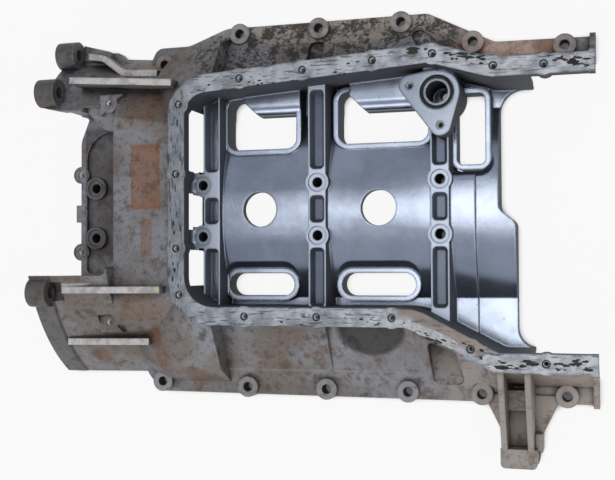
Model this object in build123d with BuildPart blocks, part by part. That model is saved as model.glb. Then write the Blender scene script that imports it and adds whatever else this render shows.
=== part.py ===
from build123d import *
from math import cos, radians, sin
import os

os.makedirs("parts", exist_ok=True)

# The pan lies on its engine block joint with the sump side up, all sizes in millimetres.
# X runs along the crankshaft, the gearbox end at minus X, and Z = 0 is the block joint.
# The origin is the middle of the main bolts, on the block joint.

# main bearing bolts and the ribs that carry them
bearing_pitch = 108.0
bolt_gauge = 46.6
main_hole = 9.0
main_boss = 21.0
seat_bore = 16.0
seat_depth = 1.5
seat_top = 38.0
seat_clear = 38.0
tie_width = 13.0
rib_width = 18.0
rib_foot = 8.0
rib_draft = 6.0
channel_width = 13.0
channel_depth = 8.0
channel_draft = 18.0

# sump joint rail
rail_top = 72.0
rail_thick = 11.0
rail_width = 15.7
rail_hole = 5.0
rail_hole_depth = 20.0
rail_boss = 18.0
rail_left = -127.0
rail_near = -101.0
rail_far_left = 115.3
rail_far_peak = 131.5
rail_peak_x = 106.5
near_bend_x = 89.0
arm_bend_x = 156.0
arm_near = -135.8
arm_far = 116.8
front_end = 231.0
front_lip = 5.0

# curved tray between the ribs
tray_crown = 33.5
tray_radius = 170.0
tray_thick = 6.5
tray_near_edge = 78.0
tray_far_edge = 86.0
basin_wall = 6.0
basin_low = 5.0
ledge_x = 137.0
ledge_drop = 3.5
front_far_x = 156.0
front_near_x = 170.0
front_wall = 6.0
arm_root = 184.0
rim_wall = 4.5
ramp_draft = 50.0
drain_hole = 31.0
guide_top = 29.0
guide_low = 10.0
guide_edge = 85.5
guide_bevel = 15.0

# side walls and block joint flange
wall = 5.0
skirt_top = 40.0
skirt_rear = -120.0
skirt_front = 165.0
arm_start = 150.0
flange_thick = 9.0
block_boss = 19.0
block_boss_top = 15.0
block_hole = 8.6
flange_far = 172.0
flange_near = -167.0
flange_arm = 142.0
flange_strip = 9.0
dome_end = -91.0
dome_mid = 36.0
panel_top = 66.0
pocket_floor = 11.0

# gearbox end
crank_drop = 83.0
bell_face = -258.0
bell_radius = 178.0
bell_wall = 11.0
band_width = 18.0
band_step = 2.5
cone_narrowing = 11.0
cone_end = -118.0
hollow_half = 134.0
bell_trim = 7.5
rear_wall_x = -232.0
rear_wall = 6.0
step_x = -183.0
gap_near = -58.0
gap_far = 98.0
shelf_top = 32.0
shelf_far = 76.0
ramp_far = 96.0
arc_x = -216.0
lip_top = 36.0
small_boss = 16.0
small_hole = 6.2
bell_boss = 26.0
bell_hole = 11.0
boss_length = 19.0
spot_face = 19.0
spot_depth = 11.0
web = 6.0
pad_x = -192.0
pad_size = 17.0
pad_hole = 6.0
pad_hole_depth = 18.0

# bracket on the near side
bracket_x = 156.0
bracket_width = 30.0
bracket_end = -219.0
bracket_block = 16.0
bracket_block_top = 30.0
bracket_rib = 5.0

# oil port
port_x = 109.0
port_y = 94.0
port_top = 56.0
port_plate = 19.0
port_bore = 18.5
port_floor = 20.0
port_lobe = 18.0
port_body = 38.0
port_hole = 6.0
port_hole_depth = 16.0
port_drain = 8.0
ring_mean = 25.6
ring_section = 2.6
groove_depth = 2.2
groove_width = 2.8
ring_clearance = 0.05

reach = 400.0
cone_small = bell_radius - cone_narrowing
bell_foot = (bell_radius ** 2 - crank_drop ** 2) ** 0.5


def inset(corners, depth):
    """Move a counter-clockwise outline of (x, y, radius) corners inwards."""
    moved = []
    for index, (x, y, radius) in enumerate(corners):
        before = corners[index - 1]
        after = corners[(index + 1) % len(corners)]
        arrive = (Vector(x, y) - Vector(before[0], before[1])).normalized()
        leave = (Vector(after[0], after[1]) - Vector(x, y)).normalized()
        shift = depth / (1 + arrive.dot(leave))
        left_turn = arrive.cross(leave).Z > 0
        rounded = radius - depth if left_turn else radius + depth
        moved.append((
            x - (arrive.Y + leave.Y) * shift,
            y + (arrive.X + leave.X) * shift,
            max(rounded, 0) if radius else 0,
        ))
    return moved


def plate(corners, mode=Mode.ADD):
    """Fill a closed outline of (x, y, radius) corners in the sketch being drawn."""
    with BuildLine(Plane.XY) as edge:
        FilletPolyline(
            *[(x, y) for x, y, radius in corners],
            radius=[radius for x, y, radius in corners],
            close=True,
        )
    make_face(edge.edges(), mode=mode)


def block(x_range, y_range):
    """Corners of a plain rectangle."""
    return [
        (x_range[1], y_range[1], 0),
        (x_range[0], y_range[1], 0),
        (x_range[0], y_range[0], 0),
        (x_range[1], y_range[0], 0),
    ]


def far_rail(x):
    """Middle of the far side of the rail, which slopes along the pan."""
    slope = (rail_far_peak - rail_far_left) / (rail_peak_x - rail_left)
    return rail_far_left + slope * (x - rail_left) - rail_width / 2


def tray_height(y):
    """Height of the curved tray at a distance from the crank line."""
    return tray_crown - tray_radius + (tray_radius ** 2 - y ** 2) ** 0.5


def tray_strip(top, bottom):
    """Cross-section of the tray between two depths below its curved surface."""
    near = tray_height(tray_near_edge)
    far = tray_height(tray_far_edge)
    with BuildLine(Plane.XY) as edge:
        Line((-reach, near - top), (-tray_near_edge, near - top))
        ThreePointArc((-tray_near_edge, near - top), (0, tray_crown - top), (tray_far_edge, far - top))
        Polyline(
            (tray_far_edge, far - top),
            (reach, far - top),
            (reach, far - bottom),
            (tray_far_edge, far - bottom),
        )
        ThreePointArc(
            (tray_far_edge, far - bottom), (0, tray_crown - bottom), (-tray_near_edge, near - bottom)
        )
        Polyline((-tray_near_edge, near - bottom), (-reach, near - bottom), (-reach, near - top))
    make_face(edge.edges())


def bell_point(angle, radius):
    """Place on a circle round the crank, by its angle from straight up."""
    turn = radians(angle)
    return (radius * sin(turn), radius * cos(turn) - crank_drop)


def bell_side(angle):
    """Distance from the crank line at an angle round the gearbox end."""
    return bell_radius * sin(radians(angle))


def bell_height(y):
    """Height of the narrow end of the half cone at a distance from the crank line."""
    return (cone_small ** 2 - y ** 2) ** 0.5 - crank_drop


def pad_face(y):
    """Outline of a small pad on one of the arms, in the sketch being drawn."""
    side = 1 if y > 0 else -1
    with Locations((pad_x, y)):
        Circle(pad_size / 2)
    plate([
        (pad_x + 14, y + side * 8, 0),
        (pad_x - 9, y + side * 8, 0),
        (pad_x - 9, y - side * 11, 0),
    ])


rail = [
    (front_end + 60, arm_far, 0),
    (arm_bend_x, arm_far, 30),
    (rail_peak_x, rail_far_peak, 24),
    (rail_left, rail_far_left, 36),
    (rail_left, rail_near, 42),
    (near_bend_x, rail_near, 30),
    (arm_bend_x, arm_near, 24),
    (front_end + 60, arm_near, 0),
]
rail_middle = rail_left + rail_width / 2
near_middle = rail_near + rail_width / 2
rail_bolts = [
    (rail_middle + 2.5, 92.3),
    (rail_middle, 31.1),
    (rail_middle, -34.4),
    (rail_middle + 3, -75.0),
    (-55.6, near_middle),
    (8.8, near_middle),
    (73.0, near_middle),
    (137.3, -117.5),
    (196.3, arm_near + rail_width / 2),
    (-59.8, far_rail(-59.8)),
    (-2.9, far_rail(-2.9)),
    (57.8, far_rail(57.8)),
    (108.0, far_rail(108.0) - 1),
    (156.9, arm_far - rail_width / 2 + 1),
    (196.6, arm_far - rail_width / 2),
]
block_bolts = [
    (-156.2, 140.8),
    (-80.7, 165.0),
    (-4.7, 165.0),
    (70.8, 165.0),
    (133.8, 143.2),
    (210.7, 135.3),
    (-157.9, -157.2),
    (-73.1, -160.0),
    (1.4, -160.0),
    (75.2, -160.0),
    (139.4, -160.0),
    (209.9, -160.0),
]
bell_bosses = [
    bell_point(angle, bell_radius + proud) for angle, proud in ((-24.4, -1), (36.8, 6), (54, 10))
]
# small pads on the arms: angle round the bell and rise over the cone
pads = [(33.8, 6.5), (-34.6, 6.0)]
rear_bolts = [(rear_wall_x, 36.5), (rear_wall_x, -36.2)]
main_rows = [-2 * bearing_pitch, -bearing_pitch, 0, bearing_pitch]
main_bolts = [(x, side * bolt_gauge / 2) for x in main_rows for side in (1, -1)]
port_screws = [(port_x - 23, port_y + 6.5), (port_x + 2.5, port_y - 27.5)]

# the tray's windows: middle, length, width, corner radius and height of the rim
windows = [
    (-55.2, 78.5, 65.5, 46.0, 9.0, 26.0),
    (56.5, 80.5, 80.0, 46.0, 9.0, 26.0),
    (133.0, 66.5, 24.0, 61.0, 5.0, 24.0),
    (-56.5, -66.5, 62.0, 20.0, 9.9, 23.0),
    (51.5, -66.5, 66.0, 20.0, 9.9, 23.0),
]
drains = [(-54.5, 0.8), (54.0, 0.3)]
tray_plan = inset(rail, rail_width - basin_wall / 2)

# open front between the two arms
front_gap = [
    (front_end + 60, arm_far - rail_width, 0),
    (front_far_x, arm_far - rail_width, 20),
    (front_far_x, -3, 8),
    (front_near_x, -14, 8),
    (front_near_x, arm_near + rail_width, 16),
    (front_end + 60, arm_near + rail_width, 0),
]

# front part of the tray, a step lower and running round the end window
ledge = [
    (reach, reach, 0),
    (ledge_x + 11, reach, 0),
    (ledge_x + 11, 40, 6),
    (ledge_x, 33, 6),
    (ledge_x, -reach, 0),
    (reach, -reach, 0),
]

# open pockets in the side walls
pockets = [
    [(2, 152, 5), (-13, 152, 5), (-13, 131, 3), (2, 131, 3)],
    [(103, 146, 6), (90, 157, 5), (78, 156, 5), (87, 139, 4), (103, 139, 3)],
    [(119, -124, 5), (94, -114, 4), (98, -153, 6), (126, -153, 6)],
]

# side walls where they leave the flange and where they reach the tray
skirt_foot = [
    (skirt_front, flange_arm - flange_strip, 0),
    (132, flange_arm - flange_strip + 3, 30),
    (92, flange_far - flange_strip, 20),
    (skirt_rear, flange_far - flange_strip, 0),
    (skirt_rear, flange_near + flange_strip, 0),
    (90, flange_near + flange_strip + 2, 30),
    (150, flange_near + flange_strip - 2, 20),
    (skirt_front, flange_near + flange_strip, 0),
]
skirt_head = inset(rail, rail_width - basin_wall + 2)
for corner, x in ((0, skirt_front), (3, skirt_rear), (4, skirt_rear), (7, skirt_front)):
    skirt_head[corner] = (x, skirt_head[corner][1], 0)

# rounded corners of the pan beside the gearbox end
dome_levels = [
    (flange_thick, [(dome_end, 162, 0), (-165, 162, 70), (-182, -157, 36), (dome_end, -157, 0)]),
    (dome_mid, [(dome_end, 155, 0), (-160, 155, 64), (-176, -143, 30), (dome_end, -143, 0)]),
    (panel_top, [
        (dome_end, rail_far_left - 5, 0),
        (rail_left + 6, rail_far_left - 6, 14),
        (rail_left + 7, rail_near + 7, 14),
        (dome_end, rail_near + 7, 0),
    ]),
]

with BuildPart() as room:
    # inside of the side walls, open to the crankcase and the front
    open_foot = [(x + reach if x == skirt_front else x, y, r) for x, y, r in skirt_foot]
    open_head = [(x + reach if x == skirt_front else x, y, r) for x, y, r in skirt_head]
    inner_foot = inset(open_foot, wall)
    inner_head = inset(open_head, wall)
    for z, outline in ((-1, inner_foot), (flange_thick - wall, inner_foot), (skirt_top - wall, inner_head)):
        with BuildSketch(Plane.XY.offset(z)):
            plate(outline)
    loft(ruled=True)

    # inside of the rounded corners
    for z, outline in [(-1, dome_levels[0][1])] + [(z - wall, outline) for z, outline in dome_levels]:
        with BuildSketch(Plane.XY.offset(z)):
            plate(inset(outline, wall))
    loft(ruled=True)

    # inside of the gearbox end, under the panel, the shelf and the two arms
    under_panel = panel_top - rear_wall
    under_shelf = shelf_top - rear_wall
    inner_x = rear_wall_x + rear_wall
    for x0, x1, y_range, top in (
        (step_x + rear_wall, rail_left + rail_width, (-hollow_half, hollow_half), under_panel),
        (inner_x, step_x + 10, (gap_near - 20, shelf_far - 12), under_shelf),
        (inner_x + 18, step_x + 10, (0, gap_far + 20), under_shelf),
        (inner_x, step_x + 10, (gap_far + rear_wall, reach), under_panel),
        (inner_x, step_x + 10, (-reach, gap_near - rear_wall), under_panel),
    ):
        with BuildSketch(Plane.YZ.offset(x0)):
            with Locations((0, -crank_drop)):
                Circle(cone_small - bell_wall)
            plate(block(y_range, (0, top)), mode=Mode.INTERSECT)
        extrude(amount=x1 - x0)

    # walls that line the pockets stay
    for pocket in pockets:
        with BuildSketch(Plane.XY.offset(pocket_floor - wall)):
            plate(inset(pocket, -wall))
        extrude(amount=reach, mode=Mode.SUBTRACT)

    # sump opening inside the rail
    with BuildSketch():
        plate(inset(rail, rail_width - 1))
    extrude(amount=rail_top)

with BuildPart() as shell:
    # half cone of the gearbox end
    with BuildSketch(Plane.XZ):
        with BuildLine():
            band_end = bell_face + band_width
            Polyline(
                (bell_face, -crank_drop),
                (bell_face, bell_radius - crank_drop),
                (band_end, bell_radius - crank_drop),
                (band_end + band_step, bell_radius - crank_drop - band_step),
                (cone_end, cone_small - crank_drop),
                (cone_end, -crank_drop),
                close=True,
            )
        make_face()
    revolve(axis=Axis((0, 0, -crank_drop), (1, 0, 0)))
    split(bisect_by=Plane.XY, keep=Keep.TOP)
    with BuildSketch():
        plate(block((bell_face - 1, step_x - 1), (-reach, bell_trim - bell_foot)))
    extrude(amount=reach, mode=Mode.SUBTRACT)

    # foot of the far gearbox arm
    with BuildSketch():
        plate([
            (-170, 110, 0),
            (-170, bell_foot - 14, 0),
            (-196, bell_foot - 12, 6),
            (-206, bell_foot - 1, 6),
            (-224, bell_foot, 8),
            (bell_face, bell_foot + 5, 0),
            (bell_face, 110, 0),
        ])
    extrude(amount=flange_thick)

    # room for the flywheel, open between the two arms
    with BuildSketch(Plane.YZ.offset(bell_face - 1)):
        with Locations((0, -crank_drop)):
            Circle(bell_radius - bell_wall)
    extrude(amount=rear_wall_x - bell_face + 1, mode=Mode.SUBTRACT)
    with BuildSketch():
        plate([
            (bell_face - 1, gap_far, 0),
            (rear_wall_x + 9, gap_far - 8, 3),
            (rear_wall_x, gap_far - 30, 18),
            (rear_wall_x, gap_near, 3),
            (bell_face - 1, gap_near, 0),
        ])
    extrude(amount=reach, mode=Mode.SUBTRACT)

    # shelf over the rear bearing with a low lip, and the flat panel beside the rail
    with BuildSketch(Plane.XY.offset(lip_top)):
        plate([
            (step_x, shelf_far, 0),
            (arc_x + 10, shelf_far, 16),
            (arc_x, ramp_far - 3, 6),
            (bell_face - 1, ramp_far - 3, 0),
            (bell_face - 1, gap_near, 0),
            (step_x, gap_near, 8),
        ])
    extrude(amount=reach, mode=Mode.SUBTRACT)
    with BuildSketch(Plane.YZ.offset(arc_x)):
        plate([
            (0, lip_top, 0),
            (shelf_far - 6, lip_top, 0),
            (ramp_far, lip_top + 18, 0),
            (ramp_far, reach, 0),
            (0, reach, 0),
        ])
    extrude(amount=step_x - arc_x, mode=Mode.SUBTRACT)
    with BuildSketch(Plane.XY.offset(shelf_top)):
        plate([
            (step_x, shelf_far, 10),
            (inner_x, shelf_far, 26),
            (inner_x, gap_near + 2, 4),
            (step_x, gap_near + 2, 7),
        ])
    extrude(amount=reach, mode=Mode.SUBTRACT)
    with BuildSketch(Plane.XY.offset(panel_top)):
        plate(block((step_x, 0), (-reach, reach)))
    extrude(amount=reach, mode=Mode.SUBTRACT)

    # rounded corners and side walls
    for z, outline in [(0, dome_levels[0][1])] + dome_levels:
        with BuildSketch(Plane.XY.offset(z)):
            plate(outline)
    loft(ruled=True)
    for z, outline in ((0, skirt_foot), (flange_thick, skirt_foot), (skirt_top, skirt_head)):
        with BuildSketch(Plane.XY.offset(z)):
            plate(outline)
    loft(ruled=True)

    # flange of the block joint
    with BuildSketch():
        plate([
            (front_end, flange_arm, 0),
            (152, flange_arm + 1, 12),
            (94, flange_far, 12),
            (-95, flange_far, 25),
            (-133, flange_far - 14, 20),
            (-166, flange_far - 14, 10),
            (-176, flange_far - 34, 10),
            (-176, flange_near + 17, 10),
            (-162, flange_near, 8),
            (front_end, flange_near, 0),
        ])
    extrude(amount=flange_thick)

    # small rib on the near wall
    with BuildSketch(Plane.YZ.offset(0)):
        plate([(rail_near + 8, 48, 0), (-146, 14, 3), (-146, 6, 0), (rail_near + 8, 20, 0)])
    extrude(amount=8)
    add(room.part, mode=Mode.SUBTRACT)

    # rail with its bolt bosses, and the wall below its inner edge
    with BuildSketch(Plane.XY.offset(rail_top)):
        plate(rail)
        plate(inset(rail, rail_width), mode=Mode.SUBTRACT)
        with Locations(*rail_bolts):
            Circle(rail_boss / 2)
        plate(block((front_end, reach), (-reach, reach)), mode=Mode.SUBTRACT)
    extrude(amount=-rail_thick)
    with BuildSketch(Plane.XY.offset(basin_low)):
        plate(inset(rail, rail_width - basin_wall))
        plate(inset(rail, rail_width), mode=Mode.SUBTRACT)
        plate(block((arm_root, reach), (-reach, reach)), mode=Mode.SUBTRACT)
    extrude(amount=rail_top - basin_low - 2)
    with BuildSketch(Plane.XY.offset(seat_top)):
        plate(block((rail_left + 1, -bearing_pitch), (-seat_clear, seat_clear)))
    extrude(amount=rail_top - rail_thick - seat_top, mode=Mode.SUBTRACT)
    with BuildSketch(Plane.XY.offset(rail_top - rail_thick + 1)):
        with Locations(*rail_bolts):
            Circle(rail_boss / 2 - 1.5)
    extrude(amount=rail_thick - rail_hole_depth - 6)

    # webs that tie the first main bolts to the underside of the rail
    for side in (1, -1):
        with BuildSketch(Plane.XZ.offset(-side * bolt_gauge / 2)):
            plate([
                (-bearing_pitch, seat_top, 0),
                (-bearing_pitch - main_boss / 2 + 1, seat_top, 4),
                (rail_middle, rail_top - rail_thick + 1, 0),
                (rail_left - 8, rail_top - rail_thick + 1, 0),
                (rail_left - 8, rail_top - rail_thick - 8, 0),
                (-bearing_pitch, basin_low, 0),
            ])
        extrude(amount=tie_width / 2, both=True)

with BuildPart() as ribs:
    # bearing ribs with draft, the first one beside its bolts
    with BuildSketch(Plane.XY.offset(rib_foot)):
        with Locations((-bearing_pitch + rib_width / 2, 0), (0, 0), (bearing_pitch, 0)):
            Rectangle(rib_width + 4, 2 * reach)
    extrude(amount=seat_top - rib_foot, taper=rib_draft)
    with BuildSketch():
        plate(tray_plan)
    extrude(amount=seat_top, mode=Mode.INTERSECT)

with BuildPart() as guides:
    # rounded guides over the far windows, bevelled at one end
    for x0, x1 in ((-57, -18), (42.5, 104)):
        with BuildSketch(Plane.YZ.offset(x0 - guide_bevel)):
            plate([
                (reach, guide_top, 0),
                (guide_edge, guide_top, 10),
                (guide_edge, guide_low, 2),
                (reach, guide_low, 0),
            ])
        extrude(amount=x1 - x0 + guide_bevel)
        with BuildSketch():
            plate([
                (x0, guide_edge - 1, 0),
                (x0 - guide_bevel - 1, guide_edge + guide_bevel, 0),
                (x0 - guide_bevel - 1, guide_edge - 1, 0),
            ])
        extrude(amount=reach, mode=Mode.SUBTRACT)
    with BuildSketch():
        plate(tray_plan)
    extrude(amount=seat_top, mode=Mode.INTERSECT)

with BuildPart() as front_edge:
    # wall that closes the front edge of the tray down to the block
    with BuildSketch():
        plate(inset(front_gap, -front_wall))
        plate(tray_plan, mode=Mode.INTERSECT)
        plate(front_gap, mode=Mode.SUBTRACT)
        plate(block((arm_root, reach), (-reach, reach)), mode=Mode.SUBTRACT)
    extrude(amount=seat_top)
    with BuildSketch(Plane.YZ.offset(-reach)):
        tray_strip(ledge_drop, reach)
    extrude(amount=2 * reach, mode=Mode.INTERSECT)

with BuildPart() as tray_front:
    # lower front part of the curved tray
    with BuildSketch():
        plate(tray_plan)
        plate(ledge, mode=Mode.INTERSECT)
        plate(front_gap, mode=Mode.SUBTRACT)
        plate(block((arm_root, reach), (-reach, reach)), mode=Mode.SUBTRACT)
    extrude(amount=seat_top)
    with BuildSketch(Plane.YZ.offset(-reach)):
        tray_strip(ledge_drop, tray_thick)
    extrude(amount=2 * reach, mode=Mode.INTERSECT)

with BuildPart() as tray:
    # curved plate that fills the sump opening behind the ledge
    with BuildSketch():
        plate(tray_plan)
        plate(ledge, mode=Mode.SUBTRACT)
    extrude(amount=seat_top)
    with BuildSketch(Plane.YZ.offset(-reach)):
        tray_strip(0, tray_thick)
    extrude(amount=2 * reach, mode=Mode.INTERSECT)
    add(tray_front.part)
    add(front_edge.part)

    # ramps that run down to the window rims, and the rims
    for x, y, length, width, corner, height in windows:
        with BuildSketch(Plane.XY.offset(height - 1)):
            with Locations((x, y)):
                RectangleRounded(length + 2 * rim_wall, width + 2 * rim_wall, corner + rim_wall)
        extrude(amount=8, taper=-ramp_draft, mode=Mode.SUBTRACT)
    for x, y, length, width, corner, height in windows:
        with BuildSketch(Plane.XY.offset(basin_low)):
            with Locations((x, y)):
                RectangleRounded(length + 2 * rim_wall, width + 2 * rim_wall, corner + rim_wall)
            plate(tray_plan, mode=Mode.INTERSECT)
        extrude(amount=height - basin_low)
    add(ribs.part)

    # channels along the rib crests
    for x in (-bearing_pitch + rib_width / 2, 0, bearing_pitch):
        for y, length in ((0, 24), (70, 70), (-60, 52)):
            with BuildSketch(Plane.XY.offset(seat_top)):
                with Locations((x, y)):
                    RectangleRounded(channel_width, length, 4)
            extrude(amount=-channel_depth, taper=channel_draft, mode=Mode.SUBTRACT)

    # openings, and the guides that reach over them
    for x, y, length, width, corner, height in windows:
        with BuildSketch():
            with Locations((x, y)):
                RectangleRounded(length, width, corner)
        extrude(amount=seat_top + 1, mode=Mode.SUBTRACT)
    with BuildSketch():
        with Locations(*drains):
            Circle(drain_hole / 2)
    extrude(amount=seat_top, mode=Mode.SUBTRACT)
    add(guides.part)

    # oil port body, its flange and the bridge to the rail
    with BuildSketch(Plane.XY.offset(rib_foot)):
        with Locations((port_x, port_y)):
            Circle(port_body / 2)
    extrude(amount=port_top - port_plate - rib_foot + 1)
    with BuildSketch(Plane.XY.offset(port_top - port_plate)):
        with Locations((port_x, port_y)):
            Circle(port_body / 2)
        with Locations(*port_screws):
            Circle(port_lobe / 2)
        make_hull()
    extrude(amount=port_plate)
    with BuildSketch(Plane.XY.offset(rib_foot)):
        plate(block((port_x - 12, port_x + 14), (port_y, far_rail(port_x) - rail_width / 2 + 1)))
    extrude(amount=port_top - rib_foot - 2)

with BuildPart() as fittings:
    # walls of the two front arms
    for side, foot, head in ((1, flange_arm - flange_strip, arm_far), (-1, 156, -arm_near)):
        with BuildSketch(Plane.YZ.offset(arm_start)):
            plate([
                (side * foot, 0, 0),
                (side * (head - 1), rail_top - rail_thick + 3, 0),
                (side * (head - 8), rail_top - rail_thick + 3, 0),
                (side * (foot - 9), 0, 0),
            ])
        extrude(amount=front_end - arm_start)

    # end faces of the arms for the front cover
    for side, rail_edge, flange_edge in ((1, arm_far, flange_arm), (-1, -arm_near, -flange_near)):
        with BuildSketch(Plane.YZ.offset(front_end)):
            plate([
                (side * (flange_edge + 3), 0, 0),
                (side * (flange_edge + 3), flange_thick + 3, 3),
                (side * (rail_edge + 12), flange_thick + 8, 6),
                (side * (rail_edge + 2), rail_top, 2),
                (side * (rail_edge - rail_width), rail_top, 2),
                (side * (rail_edge - rail_width), rail_top - rail_thick - 4, 4),
                (side * (rail_edge - 7), rail_top - rail_thick - 8, 6),
                (side * (flange_edge - 22), 0, 0),
            ])
        extrude(amount=front_lip)

    # block bolt bosses and main bolt pillars
    with BuildSketch():
        with Locations(*block_bolts):
            Circle(block_boss / 2)
    extrude(amount=block_boss_top)
    with BuildSketch():
        with Locations(*main_bolts):
            Circle(main_boss / 2)
    extrude(amount=seat_top)

    # gearbox bolt bosses
    for y, z in bell_bosses:
        with BuildSketch(Plane.YZ.offset(bell_face)):
            with Locations((y, z)):
                Circle(bell_boss / 2)
        extrude(amount=boss_length)

    # stiffening ribs of the gearbox end: ends, angles round the bell and rise over the cone
    for x0, angle0, x1, angle1, rise in (
        (-225, 42.3, -124, 39.2, 31),
        (-236, -23.5, -132, -23.3, 10),
        (-237, -42, -155, -41.5, 16),
    ):
        ends = [(x0, bell_side(angle0)), (x1, bell_side(angle1))]
        foot = bell_height(ends[1][1]) - web
        with BuildSketch(Plane.XY.offset(foot)):
            with BuildLine():
                Line(*ends)
            trace(line_width=web)
        extrude(amount=rise + web)
    with BuildSketch(Plane.XY.offset(flange_thick - 1)):
        with BuildLine():
            FilletPolyline(
                (-242, bell_foot - 5),
                (-212, bell_foot - 10),
                (-192, bell_foot - 25),
                (-157, bell_foot - 27),
                radius=14,
            )
        trace(line_width=web)
    extrude(amount=22)

    # web between the lowest gearbox bolt and the foot of its arm
    low_y, low_z = bell_bosses[2]
    with BuildSketch():
        plate([
            (bell_face + boss_length - 1, low_y - 8, 0),
            (arc_x + 4, low_y - 8, 0),
            (arc_x + 4, bell_foot - 1, 0),
            (bell_face + boss_length - 1, low_y + 12, 0),
        ])
    extrude(amount=low_z - spot_face / 2 - 1)

    # flat pads for the small bolts on the arms
    for angle, rise in pads:
        y = bell_side(angle)
        with BuildSketch(Plane.XY.offset(bell_height(y) + rise)):
            pad_face(y)
        extrude(amount=-24)

    # small bosses and lug along the rear wall
    with BuildSketch(Plane.XY.offset(lip_top)):
        with Locations(*rear_bolts):
            Circle(small_boss / 2)
        plate(block((rear_wall_x - 5, rear_wall_x + rear_wall), (-8, 8)))
    extrude(amount=-20)

    # bracket at the front of the near side
    bracket_far_x = bracket_x + bracket_width
    with BuildSketch():
        plate([
            (bracket_far_x + 20, flange_near + 7, 0),
            (bracket_x - 16, flange_near + 7, 0),
            (bracket_x, flange_near - 25, 4),
            (bracket_x, bracket_end, 4),
            (bracket_far_x, bracket_end, 4),
            (bracket_far_x + 4, flange_near - 25, 4),
        ])
    extrude(amount=flange_thick + 2)
    with BuildSketch():
        plate([
            (bracket_far_x, bracket_end + bracket_block, 0),
            (bracket_x, bracket_end + bracket_block, 0),
            (bracket_x, bracket_end, 4),
            (bracket_far_x, bracket_end, 4),
        ])
    extrude(amount=bracket_block_top)
    with BuildSketch():
        plate(block(
            (bracket_far_x - 2, bracket_far_x + 4),
            (bracket_end + bracket_block - 3, bracket_end + bracket_block + 12),
        ))
    extrude(amount=bracket_block_top - 8)
    with BuildSketch():
        plate(block((bracket_x + 4, bracket_x + 24), (flange_near - 5, flange_near + 12)))
    extrude(amount=flange_thick + 13)
    for x in (bracket_x + 1, bracket_x + bracket_width - 7.5):
        with BuildSketch(Plane.YZ.offset(x)):
            plate([
                (arm_near + 6, 0, 0),
                (arm_near + 6, rail_top - rail_thick + 1, 0),
                (arm_near - 4, rail_top - rail_thick + 1, 4),
                (bracket_end + bracket_block - 2, bracket_block_top, 0),
                (bracket_end + bracket_block - 2, 0, 0),
            ])
        extrude(amount=bracket_rib)

with BuildPart() as cuts:
    # slots between the first rib and the rail
    for y0, y1 in ((34, 95), (-15, 16), (-74, -34)):
        with BuildSketch():
            plate([
                (-bearing_pitch - 2, y1, 4),
                (rail_left + 3, y1 - 2, 4),
                (rail_left + 3, y0 + 2, 4),
                (-bearing_pitch - 2, y0, 4),
            ])
        extrude(amount=rail_top - rail_thick)

    # pockets in the side walls
    with BuildSketch(Plane.XY.offset(pocket_floor)):
        for pocket in pockets:
            plate(pocket)
    extrude(amount=rail_top - rail_thick - pocket_floor)

    # bolt holes
    with BuildSketch(Plane.XY.offset(rail_top)):
        with Locations(*rail_bolts):
            Circle(rail_hole / 2)
    extrude(amount=-rail_hole_depth)
    with BuildSketch():
        with Locations(*block_bolts):
            Circle(block_hole / 2)
    extrude(amount=rail_top - rail_thick)
    with BuildSketch():
        with Locations(*main_bolts):
            Circle(main_hole / 2)
    extrude(amount=seat_top)
    with BuildSketch(Plane.XY.offset(seat_top)):
        with Locations(*main_bolts):
            Circle(seat_bore / 2)
    extrude(amount=-seat_depth)
    with BuildSketch():
        with Locations(*rear_bolts):
            Circle(small_hole / 2)
    extrude(amount=lip_top)

    # gearbox bolt holes with room for their heads
    for y, z in bell_bosses:
        with BuildSketch(Plane.YZ.offset(bell_face)):
            with Locations((y, z)):
                Circle(bell_hole / 2)
        extrude(amount=boss_length)
        with BuildSketch(Plane.YZ.offset(bell_face + boss_length)):
            with Locations((y, z)):
                Circle(spot_face / 2)
        extrude(amount=spot_depth)
    for angle, rise in pads:
        y = bell_side(angle)
        with BuildSketch(Plane.XY.offset(bell_height(y) + rise)):
            pad_face(y)
        extrude(amount=web)
        with BuildSketch(Plane.XY.offset(bell_height(y) + rise)):
            with Locations((pad_x, y)):
                Circle(pad_hole / 2)
        extrude(amount=-pad_hole_depth)

    # oil port bore, its drain, ring groove and screw holes
    with BuildSketch(Plane.XY.offset(port_floor)):
        with Locations((port_x, port_y)):
            Circle(port_bore / 2)
    extrude(amount=port_top - port_floor)
    with BuildSketch():
        with Locations((port_x + 1, port_y + 3)):
            Circle(port_drain / 2)
    extrude(amount=port_top)
    with BuildSketch(Plane.XY.offset(port_top)):
        with Locations((port_x, port_y)):
            Circle((ring_mean + groove_width) / 2)
            Circle((ring_mean - groove_width) / 2, mode=Mode.SUBTRACT)
    extrude(amount=-groove_depth)
    with BuildSketch(Plane.XY.offset(port_top)):
        with Locations(*port_screws):
            Circle(port_hole / 2)
    extrude(amount=-port_hole_depth)

with BuildPart() as casting:
    # one casting: shell, tray and fittings, with all holes cut
    add(shell.part)
    add(tray.part)
    add(fittings.part)
    add(cuts.part, mode=Mode.SUBTRACT)

with BuildPart() as seal:
    # rubber ring lying in the groove of the oil port
    with BuildSketch(Plane.XZ.offset(-port_y)):
        ring_height = port_top - groove_depth + ring_section / 2 + ring_clearance
        with Locations((port_x + ring_mean / 2, ring_height)):
            Circle(ring_section / 2)
    revolve(axis=Axis((port_x, port_y, 0), (0, 0, 1)))

casting.part.label = "pan_casting"
seal.part.label = "port_seal_ring"
export_step(casting.part, "parts/pan_casting.step")
export_step(seal.part, "parts/port_seal_ring.step")
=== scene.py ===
import math
import random

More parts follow.
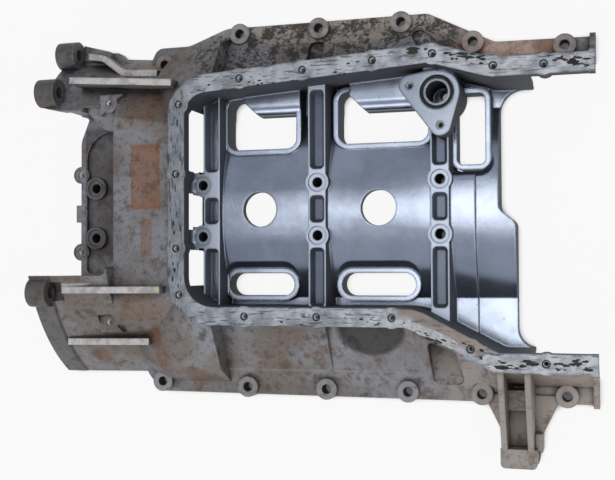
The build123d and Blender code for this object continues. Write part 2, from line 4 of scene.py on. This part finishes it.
import bpy
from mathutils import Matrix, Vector


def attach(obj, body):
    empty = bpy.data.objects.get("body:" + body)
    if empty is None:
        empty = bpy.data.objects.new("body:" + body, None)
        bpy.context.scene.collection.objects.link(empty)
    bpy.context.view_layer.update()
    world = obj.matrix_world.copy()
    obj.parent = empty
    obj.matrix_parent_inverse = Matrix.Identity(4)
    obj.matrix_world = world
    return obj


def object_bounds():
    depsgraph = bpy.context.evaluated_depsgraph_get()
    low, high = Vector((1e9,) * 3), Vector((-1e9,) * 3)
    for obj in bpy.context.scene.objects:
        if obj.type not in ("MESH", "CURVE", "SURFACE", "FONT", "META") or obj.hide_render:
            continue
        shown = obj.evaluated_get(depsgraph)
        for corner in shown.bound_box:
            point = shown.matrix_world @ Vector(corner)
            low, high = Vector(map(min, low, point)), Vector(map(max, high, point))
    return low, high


bl_info = {
    "name": "Oil pan look",
    "version": (1, 0, 0),
    "blender": (4, 5, 0),
    "location": "3D View > Sidebar > Oil pan",
    "description": "Finishes, small details and studio for a used cast oil pan",
    "category": "Object",
}

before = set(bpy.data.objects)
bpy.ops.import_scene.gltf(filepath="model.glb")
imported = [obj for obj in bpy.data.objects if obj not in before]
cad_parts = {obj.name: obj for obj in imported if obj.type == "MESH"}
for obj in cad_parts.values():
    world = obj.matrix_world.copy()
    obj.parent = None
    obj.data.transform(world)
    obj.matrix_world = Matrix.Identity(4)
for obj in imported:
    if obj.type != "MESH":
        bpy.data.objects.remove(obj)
CAD_BOX = [list(corner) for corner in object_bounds()]

# Places and sizes are in millimetres in the frame of the solids, unless another unit is named.
MM = 0.001

# Heights of the machined faces.
RAIL_TOP = 72.0
PORT_TOP = 56.0
PILLAR_TOP = 38.0
SEAT_FLOOR = 36.5
BOSS_TOP = 15.0

# Distance between two rows of main bolts.
ROW_PITCH = 108.0

# Reach of the painted shade and grime in inner corners, and of the shadow where the pan meets the floor.
CORNER_SHADE_AND_GRIME_REACH = 14.0
SHADOW_REACH = 9.0

# Screw holes that carry a thread: x, y, top, radius, depth to which the wall is whole.
# Three holes of the rail open into the space under it.
RAIL_HOLE_RADIUS = 2.5
RAIL_HOLES = [
    (x, y, RAIL_TOP, RAIL_HOLE_RADIUS, 11.0)
    for x, y in ((-116.65, 92.3), (-119.15, -34.4), (-116.15, -75.0))
] + [
    (x, y, RAIL_TOP, RAIL_HOLE_RADIUS, 20.0)
    for x, y in (
        (-119.15, 31.1), (-55.6, -93.15), (8.8, -93.15), (73.0, -93.15),
        (137.3, -117.5), (196.3, -127.95), (-59.8, 112.1), (-2.9, 116.1),
        (57.8, 120.3), (108.0, 122.75), (156.9, 109.95), (196.6, 108.95),
    )
]
OTHER_HOLES = [
    (86.0, 100.5, PORT_TOP, 3.0, 16.0),
    (111.5, 66.5, PORT_TOP, 3.0, 16.0),
    (-192.0, 99.0, 58.0, 3.0, 17.0),
    (-192.0, -101.1, 56.0, 3.0, 17.0),
    (-232.0, 36.5, 36.0, 3.1, 18.0),
    (-232.0, -36.2, 36.0, 3.1, 18.0),
]

# Threads: start under the mouth of the hole, length of the hole that they leave free,
# overlap with the wall, half width of the ridge in pitches, steps in a turn.
THREAD_START = 1.8
THREAD_FREE = 3.0
THREAD_OVERLAP = 0.05
THREAD_HALF = 0.45
THREAD_STEPS = 20

# Worn crests of the gearbox end ribs: x range, y range, height range.
CRESTS = [
    ((-232, -124), (108, 124), (70, 72.5)),
    ((-244, -155), (126, 158), (29, 31)),
    ((-237, -131), (-76, -65), (77, 80)),
    ((-238, -154), (-124, -112), (50, 53)),
]

# Stains, and a patch of painted shade and dirt on the low shelf: shape, middle, half width and half height
# in plan, height range, colour, strength.
STAINS_AND_PAINTED_SHADE = [
    ("oval", (195, -165), (90, 75), (0, 68), (190, 175, 162), 0.65),
    ("oval", (40, 172), (190, 24), (0, 20), (190, 176, 162), 0.7),
    ("oval", (162, 134), (50, 22), (0, 40), (214, 184, 166), 0.8),
    ("oval", (128, 134), (14, 14), (0, 40), (128, 80, 52), 0.6),
    ("oval", (196, 138), (12, 14), (0, 40), (128, 80, 52), 0.6),
    ("box", (-250, 40), (13, 220), (0, 100), (70, 70, 73), 0.6),
    ("box", (-151.5, 30), (14.5, 30), (60, 70), (146, 94, 60), 0.8),
    ("box", (-150.5, -24), (5.5, 17), (60, 70), (140, 92, 60), 0.6),
    ("oval", (-158, 92), (24, 22), (40, 70), (138, 106, 78), 0.55),
    ("oval", (-155, -85), (26, 16), (40, 70), (122, 92, 66), 0.5),
    ("disc", (46, -104), (31, 25), (15, 61), (48, 44, 39), 0.85),
    ("oval", (-149, -112), (6, 12), (15, 60), (128, 82, 50), 0.6),
    ("oval", (-146, -130), (7, 15), (5, 60), (122, 84, 54), 0.55),
    ("oval", (-118, -150), (14, 10), (0, 40), (118, 82, 54), 0.5),
    ("oval", (-214, -134), (10, 8), (0, 50), (120, 80, 50), 0.5),
    ("oval", (-152, 138), (40, 9), (0, 40), (126, 88, 58), 0.5),
    # painted shade and dirt on the low shelf at the gearbox end
    ("box", (-206, 20), (22, 62), (20, 40), (52, 50, 48), 0.6),
]
PAINT_DOT = ("disc", (-134.4, -69.6), (2.2, 2.2), (70, 82), (216, 204, 150), 1.0)

# Gasket remains: colour, start, end, width of the strip, number of flakes, largest flake.
REMAINS = [
    ("black", (118, 120), (150, 115), 9, 34, 2.6),
    ("pale", (118, 120), (150, 114), 10, 8, 4.2),
    ("black", (88, 126), (104, 126), 6, 9, 3.4),
    ("black", (200, 110), (230, 109), 11, 22, 3.2),
    ("pale", (202, 110), (228, 109), 12, 14, 5.0),
    ("pale", (170, 110), (184, 110), 7, 5, 3.6),
    ("pale", (84, -97), (132, -117), 8, 18, 5.2),
    ("black", (82, -98), (150, -124), 10, 26, 2.4),
    ("pale", (146, -125), (178, -129), 9, 14, 5.0),
    ("black", (158, -129), (192, -128), 8, 18, 3.0),
    ("black", (204, -128), (230, -128), 10, 18, 2.6),
    ("pale", (204, -127), (228, -127), 11, 7, 3.6),
    ("black", (-50, -95), (68, -95), 11, 16, 1.8),
    ("black", (-100, 105), (50, 116), 11, 16, 1.8),
    ("black", (-119, 82), (-119, -68), 10, 18, 1.8),
]

# Flakes: distance kept from the middle of a hole, gap over the rail,
# width as a share of the length, outline of the top as a share of that of the foot.
FLAKE_CLEAR = 4.0
FLAKE_GAP = 0.01
FLAKE_WIDTH = 0.6
FLAKE_TOP = 0.9

# Half the side of the floor, in metres.
FLOOR_HALF = 60.0

# Lamps: name, place, length and width in metres, setting that gives the power, share of it.
LAMPS = [
    ("key", (0.12, 0.12, 2.5), 1.2, 1.2, "key_power", 1.0),
    ("strip", (-0.81, 0.0, 2.5), 1.2, 0.18, "key_power", 0.15),
    ("fill", (-0.55, -1.45, 0.75), 1.0, 1.0, "fill_power", 1.0),
    ("front", (0.9, -0.3, 1.1), 0.6, 0.6, "fill_power", 0.4),
]

# Camera at the angle of the photograph: place in metres, turn in degrees.
CAMERA_PLACE = (0.24271, -0.052, 0.87832)
CAMERA_TURN = (1.685, 16.65, -0.697)
CAMERA_LENS = 58.54
CAMERA_SENSOR = 36.0


def tint(red, green, blue):
    """Linear colour of 8-bit display values."""
    return (*[(value / 255) ** 2.2 for value in (red, green, blue)], 1.0)


class Shade:
    """A shader socket that takes part in Python arithmetic."""

    def __init__(self, tree, socket=None):
        self.tree = tree
        self.socket = socket

    def node(self, kind, settings=None, inputs=None, output=0):
        """Add a node of a type, set it up and return one of its outputs, if it has any."""
        made = self.tree.nodes.new(kind)
        for name, value in (settings or {}).items():
            setattr(made, name, value)
        for name, value in (inputs or {}).items():
            feed(made, name, value)
        return Shade(self.tree, made.outputs[output] if len(made.outputs) else None)

    def part(self, output):
        """Another output of the same node."""
        return Shade(self.tree, self.socket.node.outputs[output])

    def math(self, operation, first, second=0.0):
        """One step of arithmetic."""
        return self.node("ShaderNodeMath", {"operation": operation}, {0: first, 1: second})

    def __add__(self, other):
        return self.math("ADD", self, other)

    def __radd__(self, other):
        return self.math("ADD", other, self)

    def __sub__(self, other):
        return self.math("SUBTRACT", self, other)

    def __rsub__(self, other):
        return self.math("SUBTRACT", other, self)

    def __mul__(self, other):
        return self.math("MULTIPLY", self, other)

    def __rmul__(self, other):
        return self.math("MULTIPLY", other, self)

    def __truediv__(self, other):
        return self.math("DIVIDE", self, other)

    def __abs__(self):
        return self.math("ABSOLUTE", self)

    def larger(self, other):
        """The larger of two values."""
        return self.math("MAXIMUM", self, other)

    def axes(self, scale=1.0):
        """The three parts of a vector."""
        split = self.node("ShaderNodeSeparateXYZ", inputs={0: self})
        return [split.part(index) * scale for index in range(3)]

    def step(self, start, end):
        """0 on the side of start, 1 on the side of end and smooth between them."""
        return self.node(
            "ShaderNodeMapRange",
            {"interpolation_type": "SMOOTHSTEP"},
            {"Value": self, "From Min": start, "From Max": end},
        )

    def band(self, low, high, soft):
        """1 between two values, with soft edges."""
        return self.step(low - soft, low + soft) * (1 - self.step(high - soft, high + soft))

    def mix(self, first, second):
        """Colour that goes from first to second as this value goes from 0 to 1."""
        return self.node("ShaderNodeMix", {"data_type": "RGBA"}, {0: self, 6: first, 7: second}, 2)

    def noise(self, scale, detail=4.0, stretch=(1.0, 1.0, 1.0)):
        """Cloudy values over the places that this vector gives."""
        place = self.node("ShaderNodeVectorMath", {"operation": "MULTIPLY"}, {0: self, 1: stretch})
        return self.node(
            "ShaderNodeTexNoise",
            inputs={"Vector": place, "Scale": scale, "Detail": detail, "Roughness": 0.6},
        )


def feed(node, name, value):
    """Set an input of a node, or link it to a varying value."""
    if isinstance(value, Shade):
        value.tree.links.new(value.socket, node.inputs[name])
    else:
        node.inputs[name].default_value = value


def lay(colour, layers):
    """Cover a colour with layers: a mask, a display colour and a strength each."""
    for mask, shown, strength in layers:
        colour = (mask * strength).mix(colour, tint(*shown))
    return colour


def blank_material(name):
    """A material without nodes, and a Shade to build on."""
    material = bpy.data.materials.new(name)
    material.use_nodes = True
    material.node_tree.nodes.clear()
    return material, Shade(material.node_tree)


def new_material(name):
    """A material, its Principled shader and the places on the mesh, in metres."""
    material, make = blank_material(name)
    shader = make.node("ShaderNodeBsdfPrincipled")
    make.node("ShaderNodeOutputMaterial", inputs={0: shader})
    return material, shader.socket.node, make.node("ShaderNodeTexCoord", output="Object")


def dress(node, material):
    """Give a CAD node one material."""
    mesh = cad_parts[node].data
    mesh.materials.clear()
    mesh.materials.append(material)


def add_piece(context, name, points, faces, material):
    """Add a mesh, given in millimetres, that rides on the pan."""
    mesh = bpy.data.meshes.new(name)
    mesh.from_pydata([Vector(point) * MM for point in points], [], faces)
    mesh.materials.append(material)
    piece = bpy.data.objects.new(name, mesh)
    context.scene.collection.objects.link(piece)
    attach(piece, "root")


class CastingSettings(bpy.types.PropertyGroup):
    tray: bpy.props.FloatVectorProperty(
        name="Tray metal",
        description="Colour of the bright oil-washed metal inside the rail",
        subtype="COLOR",
        size=3,
        default=(0.45, 0.50, 0.60),
    )
    tray_roughness: bpy.props.FloatProperty(
        name="Tray roughness",
        description="Roughness of the bright metal inside the rail",
        subtype="FACTOR",
        min=0.0,
        max=1.0,
        default=0.2,
    )
    outside_roughness: bpy.props.FloatProperty(
        name="Outside roughness",
        description="Roughness of the dirty cast skin",
        subtype="FACTOR",
        min=0.0,
        max=1.0,
        default=0.55,
    )
    edge: bpy.props.FloatProperty(
        name="Edge rounding",
        description="Radius that softens the cast edges in the shading",
        unit="LENGTH",
        default=2.2 * MM,
    )


class ThreadSettings(bpy.types.PropertyGroup):
    pitch: bpy.props.FloatProperty(
        name="Pitch",
        description="Rise of the thread in one turn",
        unit="LENGTH",
        default=1.0 * MM,
    )
    depth: bpy.props.FloatProperty(
        name="Depth",
        description="Height of the thread over the wall of its hole",
        unit="LENGTH",
        default=0.55 * MM,
    )


class GasketSettings(bpy.types.PropertyGroup):
    thickness: bpy.props.FloatProperty(
        name="Thickness",
        description="Largest thickness of the gasket remains on the rail",
        unit="LENGTH",
        default=0.14 * MM,
    )
    seed: bpy.props.IntProperty(
        name="Seed",
        description="Number that sets the places of the flakes",
        default=7,
    )


class StageSettings(bpy.types.PropertyGroup):
    key_power: bpy.props.FloatProperty(
        name="Key light",
        description="Power of the broad lamp over the pan; the strip lamp has a share of it",
        unit="POWER",
        default=8.8,
    )
    fill_power: bpy.props.FloatProperty(
        name="Fill light",
        description="Power of the lamp at the near gearbox corner; the front lamp has a share of it",
        unit="POWER",
        default=5.5,
    )
    sky: bpy.props.FloatProperty(
        name="Surroundings",
        description="Strength of the light of the room",
        default=0.5,
    )


def patch_mask(x, y, z, wobble, shape, middle, half, heights):
    """1 inside a patch of one shape, with ragged edges."""
    across = (x - middle[0]) / half[0]
    along = (y - middle[1]) / half[1]
    if shape == "box":
        reach = abs(across).larger(abs(along)) + (wobble - 0.5) * 0.12
        inside = reach.step(1.02, 0.92) * (0.75 + reach.step(0.7, 0.95) * 0.25)
    elif shape == "disc":
        inside = (across * across + along * along + (wobble - 0.5) * 0.8).step(1.15, 0.8)
        inside = inside * (0.55 + wobble * 0.8)
    else:
        reach = across * across + along * along + (wobble - 0.5) * 2.4
        inside = reach.step(1.4, 0.2)
    return inside * z.band(*heights, 2.0)


class OILPAN_OT_casting(bpy.types.Operator):
    """Finish of the cast pan, with painted shade in inner corners, on upright walls and in channels"""

    bl_idname = "oilpan.casting"
    bl_label = "Casting"

    def execute(self, context):
        settings = context.scene.oilpan_casting
        material, shader, place = new_material("cast_aluminium")
        x, y, z = place.axes(1 / MM)
        up = place.part("Normal").axes()[2]
        # Ambient occlusion, for the painted shade in inner corners and for the bare edges.
        corner = place.node(
            "ShaderNodeAmbientOcclusion",
            {"samples": 6, "only_local": True},
            {"Distance": CORNER_SHADE_AND_GRIME_REACH * MM},
            "AO",
        )
        soft = place.node("ShaderNodeBevel", {"samples": 4}, {"Radius": settings.edge})
        facing = place.node("ShaderNodeNewGeometry", output="Normal")
        turned = place.node(
            "ShaderNodeVectorMath", {"operation": "DOT_PRODUCT"}, {0: soft, 1: facing}, "Value"
        )
        worn = (1 - turned).step(0.03, 0.2) * corner.step(0.5, 0.8)
        clouds = place.noise(16.0)
        mottle = place.noise(75.0, 6.0)
        speck = place.noise(330.0, 5.0)
        grain = place.noise(1000.0, 3.0)

        # The oil-washed inside lies within lines that follow the rail, and under its top.
        near = -91.0 - 35.0 * x.step(75.0, 160.0)
        far = 111.4 + 0.0694 * x - 18.0 * x.step(98.0, 165.0)
        left = -125.0 + 12.0 * z.step(61.0, 62.0)
        washed = (y - near).step(-1.5, 1.5) * (far - y).step(-1.5, 1.5) * (x - left).step(-1.0, 1.0)
        washed = washed * z.step(RAIL_TOP - 0.4, RAIL_TOP - 0.8)
        level = up.step(0.85, 0.97)
        # Upright walls of the tray: painted shade in their colour, and rougher, less metallic metal.
        side = washed * up.step(0.5, 0.1)
        rail = z.band(RAIL_TOP - 0.25, RAIL_TOP + 0.25, 0.1) * level
        port = z.band(PORT_TOP - 0.2, PORT_TOP + 0.2, 0.1) * level * washed
        seats = z.band(SEAT_FLOOR - 0.2, PILLAR_TOP + 0.2, 0.1) * level * washed
        # 0 in the middle of a bay, 0.5 at a row of main bolts.
        off_middle = abs(place.math("FRACT", x / ROW_PITCH) - 0.5)
        # Floors of the channels over the rows of main bolts, which carry painted shade.
        painted_shade_channel = off_middle.step(0.43, 0.45) * up.step(0.5, 0.9)
        painted_shade_channel = painted_shade_channel * z.step(SEAT_FLOOR - 0.2, SEAT_FLOOR - 0.5)
        pits = speck.step(0.66, 0.72)

        bright = tuple(settings.tray)
        tray = clouds.step(0.35, 0.68).mix((*[value * 0.72 for value in bright], 1.0), (*bright, 1.0))
        tray = lay(tray, (
            (mottle.step(0.58, 0.75), (150, 152, 156), 0.35),  # dull patches
            (pits, (92, 88, 84), 0.4),
            # painted shade in inner corners
            (corner.step(0.6, 0.1), (48, 48, 54), 0.75),
            # painted shade on the upright walls
            (side, (58, 56, 57), 0.85),
            # painted shade in the channels
            (painted_shade_channel, (58, 62, 72), 0.85),
            (port, (130, 135, 144), 0.7),
            (seats, (210, 218, 232), 0.85),
        ))
        outside = self.outside(x, y, z, level, clouds, mottle, speck, corner, worn)
        joint = self.joint(place, x, y, mottle, speck, near)
        feed(shader, "Base Color", rail.mix(washed.mix(outside, tray), joint))

        tray_rough = settings.tray_roughness + (mottle - 0.5) * 0.14 + pits * 0.2
        outside_rough = settings.outside_roughness + (mottle - 0.5) * 0.3
        rough = outside_rough + (tray_rough - outside_rough) * washed
        rough = rough + (0.75 - rough) * side
        feed(shader, "Roughness", rough + (0.4 - rough) * rail.larger(seats))
        feed(shader, "Metallic", 0.3 + washed * 0.65 + rail * 0.25 - seats * 0.45 - side * 0.6)

        skin = (grain * 0.5 + speck) * (1 - washed * 0.92) * (1 - rail * 0.9) * 0.35
        relief = {"Distance": MM, "Strength": 1.0, "Height": skin, "Normal": soft}
        feed(shader, "Normal", place.node("ShaderNodeBump", inputs=relief))
        dress("pan_casting", material)
        return {"FINISHED"}

    def outside(self, x, y, z, level, clouds, mottle, speck, corner, worn):
        """Colour of the dirty cast skin, with painted shade and grime in inner corners and painted shade
        on the low shelf.
        """
        colour = clouds.step(0.35, 0.65).mix(tint(124, 114, 106), tint(148, 148, 151))
        colour = lay(colour, (
            (mottle.step(0.5, 0.72), (134, 102, 77), 0.6),  # brown film
            (mottle.step(0.48, 0.26), (72, 68, 65), 0.9),  # dark patches
        ))
        ragged = mottle * 0.6 + clouds * 0.4
        colour = lay(colour, [
            (patch_mask(x, y, z, ragged, *form), shown, strength) for *form, shown, strength in STAINS_AND_PAINTED_SHADE
        ])
        far_side = y.step(112.0, 126.0) * x.step(-130.0, -90.0) * x.step(135.0, 110.0)
        grime = speck * 0.45 + mottle * 0.55 + far_side * 0.05
        colour = lay(colour, (
            (grime.step(0.5, 0.6), (46, 41, 37), 0.35 + far_side * 0.5),
            # painted shade and grime in inner corners
            (corner.step(0.7, 0.2), (42, 37, 33), 0.8),
            (worn * speck.step(0.35, 0.6), (196, 190, 185), 0.6),  # bare edges
        ))
        crest = 0.0
        for x_range, y_range, z_range in CRESTS:
            crest = (x.band(*x_range, 1.0) * y.band(*y_range, 1.0) * z.band(*z_range, 0.4)).larger(crest)
        crest = crest * level * speck.step(0.25, 0.45)
        colour = crest.mix(colour, mottle.step(0.35, 0.6).mix(tint(182, 174, 170), tint(224, 216, 211)))
        boss = z.band(BOSS_TOP - 0.4, BOSS_TOP + 0.4, 0.2) * level * speck.step(0.3, 0.6)
        *dot, shown, strength = PAINT_DOT
        return lay(colour, (
            (boss, (178, 174, 170), 0.6),
            (patch_mask(x, y, z, mottle, *dot), shown, strength),
        ))

    def joint(self, place, x, y, mottle, speck, near):
        """Colour of the machined rail."""
        left = x.step(-105.0, -112.0)
        along_x = place.noise(560.0, 6.0, (0.14, 1.0, 1.0))
        along_y = place.noise(560.0, 6.0, (1.0, 0.14, 1.0))
        scratch = along_x + (along_y - along_x) * left
        varnish = (y - near).step(-4.0, 2.5) * x.band(78.0, 148.0, 6.0) * y.step(-60.0, -80.0)
        layers = [
            (left, (110, 111, 114), 0.45),
            (scratch.step(0.54, 0.64), (46, 45, 46), 0.7),  # dark scratches
            (scratch.step(0.4, 0.3), (184, 184, 183), 0.5),  # bright scratches
            (varnish, (122, 100, 82), 0.4 + mottle * 0.5),
        ]
        # A ring of painted shade round each hole, in place of a shaded chamfer at its mouth, by the square
        # of the distance from its middle.
        for hole_x, hole_y, *_ in RAIL_HOLES:
            across, along = x - hole_x, y - hole_y
            layers.append(((across * across + along * along).step(15.0, 9.0), (40, 39, 40), 1.0))
        layers.append((speck.step(0.64, 0.7), (36, 34, 33), 0.7))  # pits
        return lay(mottle.step(0.35, 0.65).mix(tint(138, 141, 146), tint(188, 191, 196)), layers)


class OILPAN_OT_seal(bpy.types.Operator):
    """Finish of the rubber ring"""

    bl_idname = "oilpan.seal"
    bl_label = "Seal ring"

    def execute(self, context):
        material, shader, place = new_material("seal_rubber")
        dust = place.noise(400.0)
        feed(shader, "Base Color", dust.step(0.4, 0.75).mix(tint(16, 16, 18), tint(48, 46, 45)))
        feed(shader, "Roughness", 0.3 + dust * 0.3)
        dress("port_seal_ring", material)
        return {"FINISHED"}


class OILPAN_OT_threads(bpy.types.Operator):
    """Threads of the screw holes"""

    bl_idname = "oilpan.threads"
    bl_label = "Threads"

    def execute(self, context):
        settings = context.scene.oilpan_threads
        material, shader, place = new_material("thread_metal")
        worn = place.noise(600.0)
        feed(shader, "Base Color", worn.step(0.3, 0.6).mix(tint(180, 178, 176), tint(246, 246, 246)))
        feed(shader, "Roughness", 0.25 + worn * 0.3)
        feed(shader, "Metallic", 0.3)
        points, faces = [], []
        for hole in RAIL_HOLES + OTHER_HOLES:
            self.helix(points, faces, hole, settings.pitch / MM, settings.depth / MM)
        add_piece(context, "hole_threads", points, faces, material)
        return {"FINISHED"}

    def helix(self, points, faces, hole, pitch, depth):
        """Add the ridge of one thread, from just under the mouth of its hole."""
        x, y, top, radius, length = hole
        root = radius + THREAD_OVERLAP
        profile = ((root, THREAD_HALF), (radius - depth, 0.0), (root, -THREAD_HALF))
        row = len(profile)
        for index in range(int((length - THREAD_FREE) / pitch * THREAD_STEPS) + 1):
            turn = 2 * math.pi * index / THREAD_STEPS
            height = top - THREAD_START - pitch * index / THREAD_STEPS
            for out, rise in profile:
                points.append((x + out * math.cos(turn), y + out * math.sin(turn), height + rise * pitch))
            if index:
                now = len(points) - row
                for low in (now, now + 1):
                    faces.append((low - row, low, low + 1, low - row + 1))


class OILPAN_OT_gasket(bpy.types.Operator):
    """Remains of the gasket on the rail"""

    bl_idname = "oilpan.gasket"
    bl_label = "Gasket remains"

    def execute(self, context):
        settings = context.scene.oilpan_gasket
        chance = random.Random(settings.seed)
        for kind, dark, light in (
            ("black", tint(20, 19, 19), tint(58, 54, 50)),
            ("pale", tint(168, 167, 166), tint(208, 208, 208)),
        ):
            points, faces = [], []
            for shade, start, end, width, count, largest in REMAINS:
                if shade == kind:
                    for _ in range(count):
                        self.flake(points, faces, chance, start, end, width, largest, settings.thickness)
            material, shader, place = new_material("gasket_" + kind)
            feed(shader, "Base Color", place.noise(160.0).step(0.35, 0.65).mix(dark, light))
            feed(shader, "Roughness", 0.45 + place.noise(900.0) * 0.3)
            add_piece(context, "gasket_" + kind, points, faces, material)
        return {"FINISHED"}

    def flake(self, points, faces, chance, start, end, width, largest, thickness):
        """Add one thin ragged flake that lies along the strip, unless it comes close to a hole."""
        start, end = Vector(start), Vector(end)
        run = (end - start).normalized()
        across = Vector((-run.y, run.x))
        size = largest * chance.uniform(0.35, 1.0)
        middle = start.lerp(end, chance.random())
        middle = middle + across * (width / 2 - size * 0.4) * chance.uniform(-1, 1)
        corners = chance.randint(9, 14)
        ragged = [chance.uniform(0.7, 1.1) for _ in range(corners)]
        longer = chance.uniform(1.0, 2.4)
        if any((middle - Vector(hole[:2])).length < FLAKE_CLEAR + size * longer for hole in RAIL_HOLES):
            return
        low, high = RAIL_TOP + FLAKE_GAP, RAIL_TOP + thickness / MM * chance.uniform(0.5, 1.0)
        first = len(points)
        for index, reach in enumerate(ragged):
            turn = 2 * math.pi * index / corners
            offset = run * math.cos(turn) * longer + across * math.sin(turn) * FLAKE_WIDTH
            points.append((*(middle + offset * size * reach), low))
            points.append((*(middle + offset * size * reach * FLAKE_TOP), high))
        for index in range(corners):
            now, after = first + 2 * index, first + 2 * ((index + 1) % corners)
            faces.append((now, after, after + 1, now + 1))
        faces.append(tuple(first + 2 * index + 1 for index in range(corners)))


class OILPAN_OT_stage(bpy.types.Operator):
    """Floor, lights and camera"""

    bl_idname = "oilpan.stage"
    bl_label = "Stage"

    def execute(self, context):
        settings = context.scene.oilpan_stage
        sides = ((-1, -1), (1, -1), (1, 1), (-1, 1))
        floor_mesh = bpy.data.meshes.new("floor")
        floor_mesh.from_pydata([(x * FLOOR_HALF, y * FLOOR_HALF, 0) for x, y in sides], [], [(0, 1, 2, 3)])
        floor_mesh.materials.append(self.floor_material())
        floor = bpy.data.objects.new("floor", floor_mesh)
        floor.location.z = CAD_BOX[0][2]
        context.scene.collection.objects.link(floor)
        for name, place, length, width, setting, share in LAMPS:
            self.lamp(context, name, place, length, width, getattr(settings, setting) * share)
        self.world(context, settings.sky)
        self.camera(context)
        return {"FINISHED"}

    def floor_material(self):
        """White to the camera and in reflections, grey to the light, shaded close to the pan."""
        material, make = blank_material("floor")
        seen = make.node("ShaderNodeLightPath", output="Is Camera Ray")
        seen = seen.larger(seen.part("Is Glossy Ray")).larger(seen.part("Is Transmission Ray"))
        free = make.node(
            "ShaderNodeAmbientOcclusion", {"samples": 8}, {"Distance": SHADOW_REACH * MM}, "AO"
        )
        grey = make.node("ShaderNodeBsdfDiffuse", inputs={"Color": (0.5, 0.5, 0.5, 1.0)})
        white = make.node("ShaderNodeEmission", inputs={"Strength": 1.0})
        share = seen * free.step(0.25, 0.7) * 0.92
        mixed = make.node("ShaderNodeMixShader", inputs={0: share, 1: grey, 2: white})
        make.node("ShaderNodeOutputMaterial", inputs={0: mixed})
        return material

    def lamp(self, context, name, place, length, width, power):
        """A rectangular lamp that looks at the pan."""
        light = bpy.data.lights.new(name, "AREA")
        light.shape = "RECTANGLE"
        light.size = length
        light.size_y = width
        light.energy = power
        lamp = bpy.data.objects.new(name, light)
        lamp.location = place
        lamp.rotation_euler = (-Vector(place)).to_track_quat("-Z", "Y").to_euler()
        context.scene.collection.objects.link(lamp)

    def world(self, context, strength):
        """A room that is brighter overhead than at the horizon."""
        world = bpy.data.worlds.new("studio")
        world.use_nodes = True
        aim = Shade(world.node_tree).node("ShaderNodeTexCoord", output="Generated")
        overhead = aim.axes()[2].step(-0.1, 0.7)
        background = world.node_tree.nodes["Background"]
        feed(background, "Color", overhead.mix((0.28, 0.29, 0.31, 1.0), (0.84, 0.90, 1.0, 1.0)))
        feed(background, "Strength", strength)
        context.scene.world = world
        context.scene.view_settings.view_transform = "Standard"

    def camera(self, context):
        """Camera at the angle of the photograph."""
        data = bpy.data.cameras.new("camera")
        data.sensor_width = CAMERA_SENSOR
        data.lens = CAMERA_LENS
        camera = bpy.data.objects.new("camera", data)
        camera.location = CAMERA_PLACE
        camera.rotation_mode = "ZYX"
        camera.rotation_euler = [math.radians(angle) for angle in CAMERA_TURN]
        context.scene.collection.objects.link(camera)
        context.scene.camera = camera


class OILPAN_PT_look(bpy.types.Panel):
    """Settings and steps of the oil pan's look"""

    bl_idname = "OILPAN_PT_look"
    bl_label = "Oil pan"
    bl_space_type = "VIEW_3D"
    bl_region_type = "UI"
    bl_category = "Oil pan"

    def draw(self, context):
        for step in STEPS:
            box = self.layout.box()
            group = getattr(context.scene, "oilpan_" + step, None)
            if group:
                for name in group.bl_rna.properties.keys():
                    if name not in ("rna_type", "name"):
                        box.prop(group, name)
            box.operator("oilpan." + step)


STEPS = ("casting", "seal", "threads", "gasket", "stage")
SETTINGS = {
    "oilpan_casting": CastingSettings,
    "oilpan_threads": ThreadSettings,
    "oilpan_gasket": GasketSettings,
    "oilpan_stage": StageSettings,
}
CLASSES = (
    *SETTINGS.values(),
    OILPAN_OT_casting,
    OILPAN_OT_seal,
    OILPAN_OT_threads,
    OILPAN_OT_gasket,
    OILPAN_OT_stage,
    OILPAN_PT_look,
)


def register():
    for entry in CLASSES:
        bpy.utils.register_class(entry)
    for name, group in SETTINGS.items():
        setattr(bpy.types.Scene, name, bpy.props.PointerProperty(type=group))


def unregister():
    for name in SETTINGS:
        delattr(bpy.types.Scene, name)
    for entry in reversed(CLASSES):
        bpy.utils.unregister_class(entry)


def main():
    register()
    bpy.ops.oilpan.casting()
    bpy.ops.oilpan.seal()
    bpy.ops.oilpan.threads()
    bpy.ops.oilpan.gasket()
    bpy.ops.oilpan.stage()


if __name__ == "__main__":
    main()
